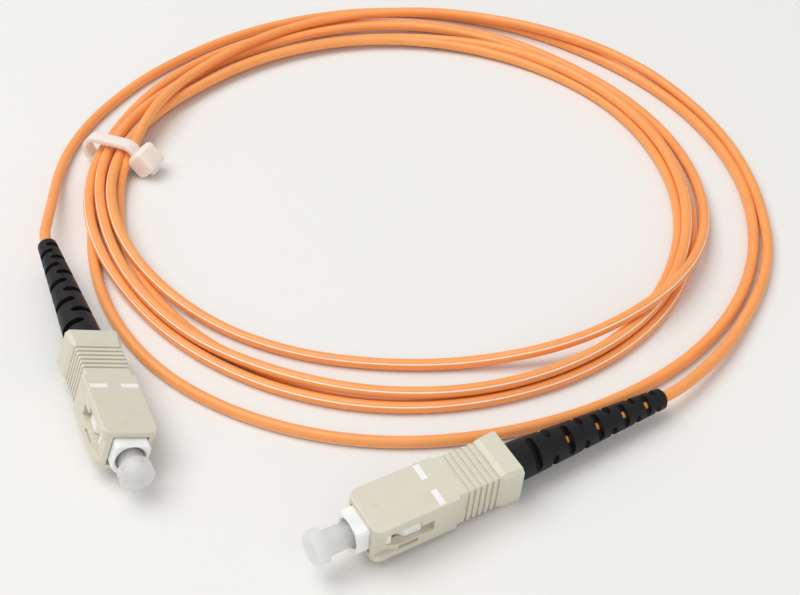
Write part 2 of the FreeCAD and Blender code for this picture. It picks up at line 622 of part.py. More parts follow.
def dust_cap(stands_out):
    """Hollow cap on the ferrule, its neck inside the plug frame's socket."""
    neck, flange = CAP_NECK_DIAMETER / 2, CAP_FLANGE_DIAMETER / 2
    bore = FERRULE_DIAMETER / 2 + RUN_GAP
    step = CAP_FRONT - CAP_FLANGE_LENGTH
    edge = CAP_EDGE
    cap = turned([
        (CAP_REAR, bore), (CAP_REAR, CAP_TIP_DIAMETER / 2), (step, neck), (step + edge / 2, flange),
        (CAP_FRONT - edge, flange), (CAP_FRONT, flange - edge), (CAP_FRONT, 0),
        (CAP_FRONT - CAP_END_WALL, 0), (CAP_FRONT - CAP_END_WALL, bore)])
    return cap.translated(Vector(stands_out, 0, 0))


def connector_parts(slot_turn, cap_out):
    """Every piece of one connector, in the connector's own frame."""
    return {
        "grip": grip(),
        "insertion_marks": insertion_marks(),
        "plug_frame": plug_frame(),
        "ferrule": ferrule(),
        "ferrule_flange": ferrule_flange(),
        "ferrule_spring": ferrule_spring(),
        "buffered_fibre": buffered_fibre(),
        "stop_ring": stop_ring(),
        "strain_tube": strain_tube(),
        "aramid_yarn": aramid_yarn(),
        "crimp_sleeve": crimp_sleeve(),
        "boot": boot(slot_turn),
        "dust_cap": dust_cap(cap_out),
    }


# --- where the connectors lie --------------------------------------------------------------------------
def attitude(heading, nose_up, roll):
    """Roll about the axis, then lift the nose, then turn to the heading."""
    turn = Rotation(Z_AXIS, heading)
    lift = Rotation(Y_AXIS, -nose_up)
    bank = Rotation(X_AXIS, roll)
    return turn.multiply(lift).multiply(bank)


def resting_height(rotation):
    """Height of the front face's centre when the grip's lowest corner is on the floor."""
    key_half, side_half = KEY_WIDTH / 2, BLOCK_WIDTH / 2
    block_half = BLOCK_HEIGHT / 2
    key_front = -KEY_SETBACK - GRIP_EDGE
    key_rear = -KEY_SETBACK - KEY_LENGTH + GRIP_EDGE
    corners = []
    for side in (-1, 1):
        corners.append(Vector(key_front, side * key_half, -GRIP_HEIGHT / 2 - KEY_HEIGHT))
        corners.append(Vector(key_rear, side * key_half, -GRIP_HEIGHT / 2 - KEY_HEIGHT))
        corners.append(Vector(-GRIP_LENGTH, side * (side_half - BLOCK_CHAMFER), -block_half))
        corners.append(Vector(-GRIP_LENGTH, side * side_half, BLOCK_CHAMFER - block_half))
    return -min(rotation.multVec(corner).z for corner in corners)


def placement_a():
    """Connector A: its length is centred over the origin."""
    rotation = attitude(0, NOSE_UP_A, ROLL_A)
    middle = (CAP_FRONT + CAP_OUT_A + BOOT_REAR) / 2
    forward = -middle * math.cos(math.radians(NOSE_UP_A))
    return Placement(Vector(forward, 0, resting_height(rotation)), rotation)


def placement_b():
    rotation = attitude(HEADING_B, NOSE_UP_B, ROLL_B)
    return Placement(Vector(FRONT_B[0], FRONT_B[1], resting_height(rotation)), rotation)


# --- cable ------------------------------------------------------------------------------------------------
def fillet_radius(before, corner, after):
    """The largest bend that the shorter of two runs allows."""
    run_in, run_out = corner - before, after - corner
    half_turn = run_in.getAngle(run_out) / 2
    return 0.45 * min(run_in.Length, run_out.Length) / math.tan(half_turn)


def tube_along(points, name):
    """A tube along straight runs joined by tangent arcs."""
    corners = [Vector(*point) for point in points]
    edges = []
    last = corners[0]
    radii = []
    for before, corner, after in zip(corners, corners[1:], corners[2:]):
        run_in, run_out = corner - before, after - corner
        half_turn = run_in.getAngle(run_out) / 2
        radius = fillet_radius(before, corner, after)
        tangent = radius * math.tan(half_turn)
        into, out = Vector(run_in).normalize(), Vector(run_out).normalize()
        start, end = corner - into * tangent, corner + out * tangent
        inward = (out - into).normalize()
        middle = corner + inward * (radius / math.cos(half_turn) - radius)
        edges.append(Part.LineSegment(last, start).toShape())
        edges.append(Part.Arc(start, middle, end).toShape())
        last = end
        radii.append(radius)
    edges.append(Part.LineSegment(last, corners[-1]).toShape())
    path = Part.Wire(edges)
    circle = Part.Wire(Part.makeCircle(CABLE_DIAMETER / 2, corners[0], corners[1] - corners[0]))
    tube = path.makePipeShell([circle], True, True).Solids[0]
    expected = math.pi * CABLE_DIAMETER ** 2 / 4 * path.Length
    print(f"{name}: length {path.Length:.1f} mm, volume ratio {tube.Volume / expected:.4f}")
    print("  bend radii " + " ".join(f"{radius:.0f}" for radius in radii))
    return tube


def lead_points(placement, route):
    """From inside the crimp sleeve, out of the boot, then along the route."""
    start = placement.multVec(Vector(-CABLE_START, 0, 0))
    boot_end = placement.multVec(Vector(BOOT_REAR - 1.5 * STRAND, 0, 0))
    return [tuple(start), tuple(boot_end)] + list(route)


# --- coil and tie ----------------------------------------------------------------------------------------
def coil_outline_at(angle):
    """The coil's outline at a clockwise angle from the tie, eased between stations."""
    for low, high in zip(COIL_OUTLINE, COIL_OUTLINE[1:]):
        if low[0] <= angle <= high[0]:
            share = (angle - low[0]) / (high[0] - low[0])
            eased = (1 - math.cos(math.pi * share)) / 2
            return [a + (b - a) * eased for a, b in zip(low[1:], high[1:])]
    raise ValueError("angle outside the outline")


def ring_frame(angle):
    """Outward direction at a clockwise angle from the tie."""
    heading = math.radians(TIE_ANGLE - angle)
    return Vector(math.cos(heading), math.sin(heading), 0)


def coil_section(angle):
    """A flat-bottomed section with round sides, across the cable's run."""
    inner, outer, low, high = coil_outline_at(angle)
    outward = ring_frame(angle)
    centre = Vector(COIL_CENTRE[0], COIL_CENTRE[1], 0)
    round_r = (high - low) / 2

    def place(radius, height):
        return centre + outward * radius + Vector(0, 0, height)

    inner_flat, outer_flat = inner + round_r, outer - round_r
    middle = (low + high) / 2
    low -= COIL_TRIM
    edges = [
        Part.LineSegment(place(inner_flat, low), place(outer_flat, low)).toShape(),
        Part.Arc(place(outer_flat, low), place(outer, middle), place(outer_flat, high)).toShape(),
        Part.LineSegment(place(outer_flat, high), place(inner_flat, high)).toShape(),
        Part.Arc(place(inner_flat, high), place(inner, middle), place(inner_flat, low)).toShape(),
    ]
    return Part.Wire(edges)


def cable_coil():
    """The outer shape of the wound turns, as two half rings joined."""
    half = COIL_SECTIONS // 2
    step = 360 / COIL_SECTIONS
    halves = []
    for first in (0, half):
        wires = [coil_section(step * index) for index in range(first, first + half + 1)]
        halves.append(Part.makeLoft(wires, True, True))
    ring = halves[0].fuse(halves[1])
    box = ring.BoundBox
    below = block(box.XMin - 1, box.XMax + 1, box.YMin - 1, box.YMax + 1, -1, 0)
    return one_solid(ring.cut(below))


def cable_tie():
    """Nylon tie: strap loop, head and the trimmed tail, made lying across X."""
    half = TIE_WIDTH / 2
    coil_inner, coil_outer, _, coil_top = coil_outline_at(0)
    loop_inner, loop_outer = coil_inner - TIE_SIDE_SLACK, coil_outer + TIE_SIDE_SLACK
    loop_top = coil_top + TIE_TOP_SLACK
    loop_round = (loop_top - TIE_THICKNESS) / 2 - 0.1
    outer = block(loop_inner - TIE_THICKNESS, loop_outer + TIE_THICKNESS, -half, half,
                  0, loop_top + TIE_THICKNESS)
    along_y = [e for e in outer.Edges if abs(e.CenterOfMass.y) < 1e-6]
    outer = outer.makeFillet(loop_round + TIE_THICKNESS, along_y)
    inner = block(loop_inner, loop_outer, -TIE_WIDTH, TIE_WIDTH, TIE_THICKNESS, loop_top)
    along_y = [e for e in inner.Edges if abs(e.CenterOfMass.y) < 1e-6]
    inner = inner.makeFillet(loop_round, along_y)
    half_l, half_w, half_h = TIE_HEAD_LENGTH / 2, TIE_HEAD_WIDTH / 2, TIE_HEAD_HEIGHT / 2
    head = block(-half_l, half_l, -half_w, half_w, -half_h, half_h)
    head = head.makeFillet(TIE_HEAD_ROUND, head.Edges)
    tail = block(-half_l - TIE_TAIL_LENGTH, 0, -half, half, -TIE_THICKNESS / 2, TIE_THICKNESS / 2)
    head = head.fuse(tail).rotated(Vector(0, 0, 0), Y_AXIS, -TIE_HEAD_TILT)
    head = head.translated(Vector(loop_inner - TIE_HEAD_INSET, 0, TIE_HEAD_MIDDLE))
    tie = one_solid(outer.fuse(head).cut(inner))
    middle = Vector((loop_inner + loop_outer) / 2, 0, 0)
    tie = tie.rotated(middle, Z_AXIS, TIE_SKEW).translated(Vector(0, TIE_SHIFT, 0))
    tie = tie.rotated(Vector(0, 0, 0), Z_AXIS, TIE_ANGLE)
    return tie.translated(Vector(COIL_CENTRE[0], COIL_CENTRE[1], 0))


# --- export ------------------------------------------------------------------------------------------------
def save(name, shape):
    if not shape.isValid():
        raise ValueError(f"{name} is not a valid shape")
    shape.exportStep(os.path.join("parts", f"{name}.step"))
    box = shape.BoundBox
    print(f"{name:20s} volume {shape.Volume:9.3f}  z {box.ZMin:7.3f} to {box.ZMax:7.3f}")


def main():
    os.makedirs("parts", exist_ok=True)
    ends = (("a", placement_a(), SLOT_TURN_A, CAP_OUT_A, ROUTE_A),
            ("b", placement_b(), SLOT_TURN_B, CAP_OUT_B, ROUTE_B))
    for letter, placement, slot_turn, cap_out, route in ends:
        for name, shape in connector_parts(slot_turn, cap_out).items():
            placed = shape.copy()
            placed.Placement = placement.multiply(shape.Placement)
            save(f"{name}_{letter}", placed)
        tube = tube_along(lead_points(placement, route), f"cable_lead_{letter}")
        save(f"cable_lead_{letter}", tube)
    save("cable_coil", cable_coil())
    save("cable_tie", cable_tie())


main()
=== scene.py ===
"""Looks of a simplex SC to SC fibre patch cord: its cable, its tie and every finish."""
import json
import math

import bmesh
import bpy
from mathutils import Matrix, Vector


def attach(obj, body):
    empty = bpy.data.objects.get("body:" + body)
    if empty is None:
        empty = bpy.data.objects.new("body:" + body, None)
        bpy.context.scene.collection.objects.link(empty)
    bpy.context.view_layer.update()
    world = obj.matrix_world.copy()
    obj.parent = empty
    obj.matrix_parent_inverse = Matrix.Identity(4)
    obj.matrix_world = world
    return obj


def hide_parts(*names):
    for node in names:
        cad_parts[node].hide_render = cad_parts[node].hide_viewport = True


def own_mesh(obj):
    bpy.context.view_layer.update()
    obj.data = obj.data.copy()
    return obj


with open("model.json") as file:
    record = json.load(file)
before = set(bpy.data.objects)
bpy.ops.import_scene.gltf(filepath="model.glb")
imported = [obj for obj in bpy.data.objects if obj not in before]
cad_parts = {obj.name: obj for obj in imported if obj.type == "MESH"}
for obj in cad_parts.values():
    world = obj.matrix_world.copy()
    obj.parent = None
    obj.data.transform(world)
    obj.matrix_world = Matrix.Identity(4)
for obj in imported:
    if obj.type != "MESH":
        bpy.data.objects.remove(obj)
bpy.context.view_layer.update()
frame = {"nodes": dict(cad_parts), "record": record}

# --- camera: the place, direction and lens of the reference view ----------------------
CAMERA_PLACE = (0.0962, 0.1422, 0.1863)
CAMERA_HEADING = 240.49      # degrees from +X, seen from above
CAMERA_DOWN = 40.55          # degrees below the horizon
CAMERA_ROLL = 2.01           # degrees, right side down
CAMERA_LENS = 73.0           # millimetres
SENSOR_WIDTH = 36.0          # millimetres
NEAREST_SEEN = 0.01

# --- cable ----------------------------------------------------------------------------
CABLE_DIAMETER = 0.002
CABLE_SIDES = 20
CRIMP_DEPTH = 0.0296         # from the plug frame's nose back to the jacket's end
BOOT_HOLD = 0.0545           # inside the boot's last stretch
BOOT_EXIT = 0.0608           # just past the boot's tip
SPLINE_ORDER = 3
SPLINE_STEPS = 14            # points of the cable's line to one point of its route
STRIPE_ON_TURNS = 42.0       # degrees above the outward side
STRIPE_ON_LEADS = -26.0
STRIPE_FADE = 0.012          # length over which the stripe turns between the two
STRIPE_CORE = 0.013          # half of its width, as a share of the way round the cable
STRIPE_EDGE = 0.019          # the same with its soft edge

# The cable's route from each boot to the coil, given along the part's own route.
ROUTE_A = [
    (-0.0426, -0.0022, 0.0023),
    (-0.0526, -0.0062, 0.0016),
    (-0.0709, -0.0180, 0.0010),
    (-0.0830, -0.0360, 0.0010),
    (-0.0900, -0.0554, 0.0010),
    (-0.0907, -0.0756, 0.0019),
    (-0.0869, -0.0886, 0.0031),
    (-0.0820, -0.1006, 0.0031),
    (-0.0749, -0.1127, 0.0028),
    (-0.0634, -0.1245, 0.0029),
    (-0.0467, -0.1327, 0.0031),
    (-0.0284, -0.1344, 0.0031),
    (-0.0102, -0.1293, 0.0034),
    (0.0032, -0.1197, 0.0052),
    (0.0124, -0.1104, 0.0034),
]
ROUTE_B = [
    (0.0348, -0.0972, 0.0043),
    (0.0312, -0.1044, 0.0029),
    (0.0264, -0.1140, 0.0014),
    (0.0198, -0.1226, 0.0010),
    (0.0102, -0.1302, 0.0010),
    (-0.0048, -0.1376, 0.0010),
    (-0.0254, -0.1412, 0.0010),
    (-0.0453, -0.1380, 0.0010),
    (-0.0626, -0.1288, 0.0010),
    (-0.0762, -0.1136, 0.0010),
    (-0.0847, -0.0949, 0.0010),
    (-0.0888, -0.0744, 0.0010),
    (-0.0874, -0.0540, 0.0010),
    (-0.0806, -0.0353, 0.0010),
    (-0.0675, -0.0186, 0.0010),
    (-0.0494, -0.0078, 0.0010),
    (-0.0286, -0.0045, 0.0010),
    (-0.0075, -0.0080, 0.0010),
    (0.0113, -0.0173, 0.0010),
    (0.0254, -0.0322, 0.0010),
    (0.0338, -0.0508, 0.0010),
    (0.0350, -0.0710, 0.0010),
    (0.0300, -0.0904, 0.0010),
    (0.0200, -0.1076, 0.0021),
]

# --- coil -----------------------------------------------------------------------------
COIL_CENTRE = (-0.0268, -0.0731)
TIE_ANGLE = 316.5            # degrees from +X, seen from above
TURN_POINTS = 20             # points of the route to one turn
MM_PER_METRE = 1000
# The turns as they run clockwise from the tie: degrees, radius and height in millimetres.
TURNS = [
    (0, 57.3, 2.3), (13, 56.5, 1.2), (30, 56.6, 1.0), (45, 56.5, 1.0), (60, 55.9, 1.0),
    (75, 54.9, 1.0), (90, 53.5, 1.1), (100, 52.6, 2.0), (110, 51.3, 3.0), (125, 50.5, 2.9),
    (143, 50.8, 2.75), (160, 51.8, 2.75), (180, 53.7, 2.75), (200, 56.3, 2.75), (217, 58.3, 2.8),
    (235, 58.4, 2.8), (256, 57.6, 2.8), (270, 56.0, 2.8), (284, 55.4, 2.8), (300, 55.0, 2.4),
    (322, 54.8, 2.8), (345, 57.1, 3.3),
    (360, 58.7, 4.0), (375, 59.3, 1.8), (390, 60.3, 1.0), (410, 60.1, 1.2), (425, 59.6, 1.7),
    (440, 58.5, 1.8), (455, 56.3, 1.6), (470, 53.3, 1.2), (488, 51.9, 1.0), (503, 51.9, 1.0),
    (520, 53.0, 1.0), (540, 54.7, 1.0), (562, 58.0, 1.0), (586, 59.6, 1.0), (616, 59.1, 1.0),
    (630, 58.2, 1.0), (644, 57.3, 1.0), (660, 56.4, 1.0), (672, 56.2, 1.0), (685, 56.6, 1.3),
    (694, 58.3, 3.2), (708, 59.5, 3.0),
    (720, 60.0, 2.3), (732, 61.3, 1.4), (745, 63.2, 1.0), (762, 63.8, 1.0), (780, 62.4, 1.0),
    (800, 60.4, 1.0), (815, 58.2, 1.0), (830, 55.3, 1.0), (845, 53.8, 1.0), (862, 53.9, 1.0),
    (880, 55.5, 1.0), (902, 57.2, 1.2), (917, 58.1, 5.0), (937, 56.7, 5.0), (952, 53.0, 2.4),
    (966, 49.4, 1.0), (985, 48.3, 1.0), (1010, 49.0, 1.0), (1029, 50.4, 1.2),
    (1036, 51.4, 2.5), (1044, 52.8, 3.1), (1062, 54.3, 3.6),
    (1080, 56.4, 3.7), (1093, 55.5, 2.7), (1110, 54.9, 2.0), (1130, 54.5, 2.0), (1150, 53.4, 1.8),
    (1170, 51.5, 1.5), (1188, 50.5, 1.1), (1205, 49.9, 1.0), (1225, 49.9, 1.0), (1245, 51.0, 1.0),
    (1265, 52.9, 1.0), (1285, 55.4, 1.0), (1306, 57.2, 1.0), (1336, 57.1, 1.0), (1350, 56.0, 1.0),
    (1364, 54.6, 1.0), (1380, 53.4, 1.0), (1394, 52.8, 1.0), (1423, 53.3, 1.0), (1440, 54.5, 2.1),
]

# --- ferrule springs, as in the part's source -----------------------------------------
SPRING_FRONT = 0.00965       # flange's rear face, from the plug frame's nose back
SPRING_REAR = 0.0157         # seat in the rear body
SPRING_WIRE = 0.00045        # diameter
SPRING_MEAN_DIAMETER = 0.00295
SPRING_TURNS = 6
SPRING_CLOSED = 0.9          # turns laid close at each end
SPRING_CLOSE_PITCH = 1.04    # their pitch, in wire diameters
SPRING_STEPS = 28            # steps round one turn
SPRING_SIDES = 10            # faces round the wire
SPRING_CLEARANCE = 0.00005   # gap at each end

# --- materials ------------------------------------------------------------------------
CLOUD_DARK = 0.3             # noise value at which a mottled colour has its darker shade
CLOUD_LIGHT = 0.7
CLOUD_PER_GRAIN = 12         # how many times coarser mottling is than the grain
POLISH_PER_CLOUD = 4         # how many times finer a metal's polish is than its mottling
POLISH_DEPTH = 0.000004
MIX_FROM, MIX_TO = 6, 7      # the mix node's colour inputs, which share names with others
MIX_RESULT = 2               # its colour output

# --- floor and light ------------------------------------------------------------------
FLOOR_SIZE = 3.0
FLOOR_COLOUR = (0.84, 0.835, 0.812, 1.0)
FLOOR_ROUGHNESS = 0.6
FLOOR_GLOSS = 0.2
# Each lamp's place, its width in metres and its power in watts.
LAMPS = {
    "key_lamp": ((0.36, -0.46, 1.15), 1.1, 10.8),
    "fill_lamp": ((0.2, 0.8, 0.6), 1.0, 2.5),
}
SURROUND_STRENGTH = 0.47


# --- camera ---------------------------------------------------------------------------
def make_camera():
    """The camera of the reference view."""
    heading, down, roll = (math.radians(v) for v in (CAMERA_HEADING, CAMERA_DOWN, CAMERA_ROLL))
    ahead = Vector((math.cos(down) * math.cos(heading),
                    math.cos(down) * math.sin(heading),
                    -math.sin(down)))
    level = Vector((math.sin(heading), -math.cos(heading), 0))
    below = ahead.cross(level)
    right = level * math.cos(roll) + below * math.sin(roll)
    up = level * math.sin(roll) - below * math.cos(roll)
    turn = Matrix((right, up, -ahead)).transposed().to_4x4()
    data = bpy.data.cameras.new("camera")
    data.sensor_width = SENSOR_WIDTH
    data.lens = CAMERA_LENS
    data.clip_start = NEAREST_SEEN
    camera = bpy.data.objects.new("camera", data)
    camera.matrix_world = Matrix.Translation(CAMERA_PLACE) @ turn
    bpy.context.scene.collection.objects.link(camera)
    bpy.context.scene.camera = camera


# --- node helpers ---------------------------------------------------------------------
def new_material(name):
    """A material with an empty tree but for its shader and output."""
    material = bpy.data.materials.new(name)
    material.use_nodes = True
    tree = material.node_tree
    shader = next(n for n in tree.nodes if n.type == "BSDF_PRINCIPLED")
    return material, tree, shader


def add_node(tree, kind, **settings):
    """A new node with some of its properties set."""
    node = tree.nodes.new(kind)
    for name, value in settings.items():
        setattr(node, name, value)
    return node


def noise(tree, scale, detail):
    """Noise in the piece's own coordinates, in cycles per metre."""
    place = add_node(tree, "ShaderNodeTexCoord")
    texture = add_node(tree, "ShaderNodeTexNoise")
    texture.inputs["Scale"].default_value = scale
    texture.inputs["Detail"].default_value = detail
    tree.links.new(place.outputs["Object"], texture.inputs["Vector"])
    return texture.outputs["Fac"]


def ramp(tree, source, stops):
    """A colour ramp from (position, colour) stops."""
    node = add_node(tree, "ShaderNodeValToRGB")
    elements = node.color_ramp.elements
    while len(elements) < len(stops):
        elements.new(0.5)
    for element, (position, colour) in zip(elements, stops):
        element.position = position
        element.color = colour
    tree.links.new(source, node.inputs["Fac"])
    return node.outputs["Color"]


def add_bump(tree, shader, source, distance):
    """Bump of a real depth in metres."""
    node = add_node(tree, "ShaderNodeBump")
    node.inputs["Strength"].default_value = 1.0
    node.inputs["Distance"].default_value = distance
    tree.links.new(source, node.inputs["Height"])
    tree.links.new(node.outputs["Normal"], shader.inputs["Normal"])


def shade(colour, factor):
    """A linear colour made lighter or darker."""
    return tuple(min(channel * factor, 1.0) for channel in colour[:3]) + (1.0,)


def mottled(tree, colour, scale, dark, light, detail=3.0):
    """A colour that drifts between a darker and a lighter shade of itself."""
    cloud = noise(tree, scale, detail)
    return ramp(tree, cloud, [(CLOUD_DARK, shade(colour, dark)),
                              (CLOUD_LIGHT, shade(colour, light))])


def moulded(name, colour, roughness, grain, depth,
            mottle=0.03, subsurface=0.0, reach=0.001, gloss=0.5):
    """Moulded plastic: slight mottling, fine surface grain and a soft inner glow.

    The grain is in cycles per metre; its depth and the glow's reach are in metres.
    """
    material, tree, shader = new_material(name)
    tint = mottled(tree, colour, grain / CLOUD_PER_GRAIN, 1 - mottle, 1 + mottle)
    tree.links.new(tint, shader.inputs["Base Color"])
    shader.inputs["Roughness"].default_value = roughness
    shader.inputs["Specular IOR Level"].default_value = gloss
    shader.inputs["Subsurface Weight"].default_value = subsurface
    shader.inputs["Subsurface Radius"].default_value = (1.0, 0.8, 0.6)
    shader.inputs["Subsurface Scale"].default_value = reach
    add_bump(tree, shader, noise(tree, grain, 4.0), depth)
    return material


def metal(name, colour, roughness, grain):
    """Plated or drawn metal with a fine uneven polish."""
    material, tree, shader = new_material(name)
    tint = mottled(tree, colour, grain, 0.92, 1.05)
    tree.links.new(tint, shader.inputs["Base Color"])
    shader.inputs["Metallic"].default_value = 1.0
    shader.inputs["Roughness"].default_value = roughness
    add_bump(tree, shader, noise(tree, grain * POLISH_PER_CLOUD, 3.0), POLISH_DEPTH)
    return material


# --- materials ------------------------------------------------------------------------
def jacket_material():
    """Orange cable jacket with one thin pale line along it."""
    material, tree, shader = new_material("cable_jacket")
    orange, pale = (1.0, 0.38, 0.108, 1.0), (1.0, 0.93, 0.84, 1.0)
    off, on = (0, 0, 0, 1), (1, 1, 1, 1)
    base = mottled(tree, orange, 160, 0.95, 1.04)
    place = add_node(tree, "ShaderNodeUVMap", uv_map="round_and_along")
    split = add_node(tree, "ShaderNodeSeparateXYZ")
    tree.links.new(place.outputs["UV"], split.inputs["Vector"])
    line = ramp(tree, split.outputs["X"], [
        (0.5 - STRIPE_EDGE, off), (0.5 - STRIPE_CORE, on),
        (0.5 + STRIPE_CORE, on), (0.5 + STRIPE_EDGE, off)])
    mix = add_node(tree, "ShaderNodeMix", data_type="RGBA")
    tree.links.new(line, mix.inputs["Factor"])
    tree.links.new(base, mix.inputs[MIX_FROM])
    mix.inputs[MIX_TO].default_value = pale
    tree.links.new(mix.outputs[MIX_RESULT], shader.inputs["Base Color"])
    shader.inputs["Roughness"].default_value = 0.36
    shader.inputs["Subsurface Weight"].default_value = 0.25
    shader.inputs["Subsurface Radius"].default_value = (1.0, 0.45, 0.2)
    shader.inputs["Subsurface Scale"].default_value = 0.0008
    add_bump(tree, shader, noise(tree, 2500, 3.0), 0.000012)
    return material


def cap_material():
    """Milky soft plastic that lets a little light through."""
    material, tree, shader = new_material("dust_cap_plastic")
    tint = mottled(tree, (1.0, 0.99, 0.97, 1.0), 300, 0.98, 1.02, detail=2.0)
    tree.links.new(tint, shader.inputs["Base Color"])
    shader.inputs["Roughness"].default_value = 0.32
    shader.inputs["Transmission Weight"].default_value = 0.06
    shader.inputs["Subsurface Weight"].default_value = 1.0
    shader.inputs["Subsurface Radius"].default_value = (1.0, 1.0, 1.0)
    shader.inputs["Subsurface Scale"].default_value = 0.006
    shader.inputs["Alpha"].default_value = 0.6
    add_bump(tree, shader, noise(tree, 1200, 3.0), 0.00001)
    return material


def yarn_material():
    """Golden aramid yarn: fine strands along the cable."""
    material, tree, shader = new_material("aramid_yarn")
    strands = add_node(tree, "ShaderNodeTexWave")
    strands.inputs["Scale"].default_value = 900
    strands.inputs["Distortion"].default_value = 3.0
    place = add_node(tree, "ShaderNodeTexCoord")
    tree.links.new(place.outputs["Object"], strands.inputs["Vector"])
    tint = ramp(tree, strands.outputs["Fac"],
                [(0.0, (0.55, 0.40, 0.08, 1)), (1.0, (0.85, 0.70, 0.25, 1))])
    tree.links.new(tint, shader.inputs["Base Color"])
    shader.inputs["Roughness"].default_value = 0.6
    add_bump(tree, shader, strands.outputs["Fac"], 0.00003)
    return material


def dress(piece, material):
    """Puts one material in all of a piece's slots."""
    if not piece.material_slots:
        piece.data.materials.append(material)
    for slot in piece.material_slots:
        slot.material = material


def finish_nodes():
    """Every CAD node that stays gets its finish."""
    finishes = {
        "grip": moulded("grip_plastic", (0.70, 0.665, 0.545, 1), 0.42, 5000, 0.000010,
                        mottle=0.02, subsurface=0.12, reach=0.0006),
        "insertion_marks": moulded("mark_inlay", (0.90, 0.90, 0.88, 1), 0.45, 4000, 0.000005),
        "plug_frame": moulded("frame_plastic", (0.93, 0.925, 0.90, 1), 0.35, 4000, 0.000006,
                              mottle=0.02, subsurface=0.4),
        "ferrule": moulded("zirconia", (0.90, 0.89, 0.85, 1), 0.12, 6000, 0.000001,
                           mottle=0.01, subsurface=0.2),
        "ferrule_flange": metal("nickel_plate", (0.60, 0.59, 0.56, 1), 0.28, 900),
        "buffered_fibre": moulded("fibre_buffer", (0.85, 0.84, 0.80, 1), 0.35, 3000, 0.000004),
        "stop_ring": metal("plated_body", (0.62, 0.60, 0.56, 1), 0.32, 700),
        "strain_tube": moulded("strain_tube_plastic", (0.80, 0.80, 0.80, 1), 0.40, 3000, 0.000004),
        "aramid_yarn": yarn_material(),
        "crimp_sleeve": metal("crimp_metal", (0.72, 0.72, 0.73, 1), 0.38, 800),
        "boot": moulded("boot_rubber", (0.010, 0.010, 0.011, 1), 0.50, 3500, 0.000020,
                        mottle=0.10, gloss=0.25),
        "dust_cap": cap_material(),
    }
    for kind, material in finishes.items():
        for letter in "ab":
            dress(frame["nodes"][f"{kind}_{letter}"], material)


# --- cable ----------------------------------------------------------------------------
def mount(name):
    """Place and outward direction of a mount in the record."""
    entry = next(m for m in frame["record"]["mounts"] if m["name"] == name)
    return Vector(entry["pos_m"]), Vector(entry["axis"]).normalized()


def plug_points(letter):
    """The jacket's end in the crimp, the boot's hold on it, and just past the boot."""
    nose, outward = mount(f"plug_nose_{letter}")
    return [nose - outward * depth for depth in (CRIMP_DEPTH, BOOT_HOLD, BOOT_EXIT)]


def slope_at(index):
    """How fast radius and height change at a station, level at its highs and lows."""
    low, here, high = TURNS[max(index - 1, 0)], TURNS[index], TURNS[min(index + 1, len(TURNS) - 1)]
    slopes = []
    for before, value, after in zip(low[1:], here[1:], high[1:]):
        into = (value - before) / max(here[0] - low[0], 1)
        out_of = (after - value) / max(high[0] - here[0], 1)
        slopes.append(2 * into * out_of / (into + out_of) if into * out_of > 0 else 0.0)
    return slopes


def turn_at(angle):
    """Radius and height at an angle, on a smooth line through the stations."""
    index = max(i for i, station in enumerate(TURNS[:-1]) if station[0] <= angle)
    low, high = TURNS[index], TURNS[index + 1]
    gap = high[0] - low[0]
    share = (angle - low[0]) / gap
    ends = zip(low[1:], high[1:], slope_at(index), slope_at(index + 1))
    return [start * (1 + 2 * share) * (1 - share) ** 2 + end * share ** 2 * (3 - 2 * share)
            + gap * share * (1 - share) * (rise * (1 - share) - fall * share)
            for start, end, rise, fall in ends]


def coil_points():
    """The turns in order from the lead of plug B, with room for the spline to cut inside."""
    step = 360 / TURN_POINTS
    spread = 1 / math.cos(math.radians(step / 2))
    points = []
    for index in range(TURN_POINTS * TURNS[-1][0] // 360):
        angle = step * (index + 0.5)
        radius, height = turn_at(angle)
        heading = math.radians(TIE_ANGLE - angle)
        reach = radius * spread / MM_PER_METRE
        points.append(Vector((COIL_CENTRE[0] + reach * math.cos(heading),
                              COIL_CENTRE[1] + reach * math.sin(heading),
                              height / MM_PER_METRE)))
    return points


def cord_line(points):
    """The points that a smooth spline with these control points runs through."""
    curve = bpy.data.curves.new("cord_route", "CURVE")
    curve.dimensions = "3D"
    curve.resolution_u = SPLINE_STEPS
    spline = curve.splines.new("NURBS")
    spline.points.add(len(points) - 1)
    for target, point in zip(spline.points, points):
        target.co = (*point, 1.0)
    spline.order_u = SPLINE_ORDER
    spline.use_endpoint_u = True
    holder = bpy.data.objects.new("cord_route", curve)
    mesh = bpy.data.meshes.new_from_object(holder)
    line = [vertex.co.copy() for vertex in mesh.vertices]
    bpy.data.objects.remove(holder)
    bpy.data.curves.remove(curve)
    bpy.data.meshes.remove(mesh)
    return line


def running_lengths(line):
    """How far along a line each of its points is."""
    lengths = [0.0]
    for before, after in zip(line, line[1:]):
        lengths.append(lengths[-1] + (after - before).length)
    return lengths


def stripe_angle(length, lead_a_end, lead_b_start):
    """The pale line sits low on the leads and high on the turns."""
    into = min(max((length - lead_a_end) / STRIPE_FADE, 0.0), 1.0)
    out_of = min(max((length - lead_b_start) / STRIPE_FADE, 0.0), 1.0)
    return STRIPE_ON_LEADS + (STRIPE_ON_TURNS - STRIPE_ON_LEADS) * (into - out_of)


def skin(mesh, rings):
    """Joins a row of rings into a closed tube; gives each side face with its place in the row."""
    faces = []
    for index, (first, second) in enumerate(zip(rings, rings[1:])):
        for side in range(len(first)):
            other = (side + 1) % len(first)
            face = mesh.faces.new((first[side], first[other], second[other], second[side]))
            face.smooth = True
            faces.append((face, index, side))
    mesh.faces.new(rings[0][::-1])
    mesh.faces.new(rings[-1])
    mesh.normal_update()
    return faces


def piece_of(name, mesh):
    """An object in the scene from a finished bmesh."""
    data = bpy.data.meshes.new(name)
    mesh.to_mesh(data)
    mesh.free()
    piece = bpy.data.objects.new(name, data)
    bpy.context.scene.collection.objects.link(piece)
    return piece


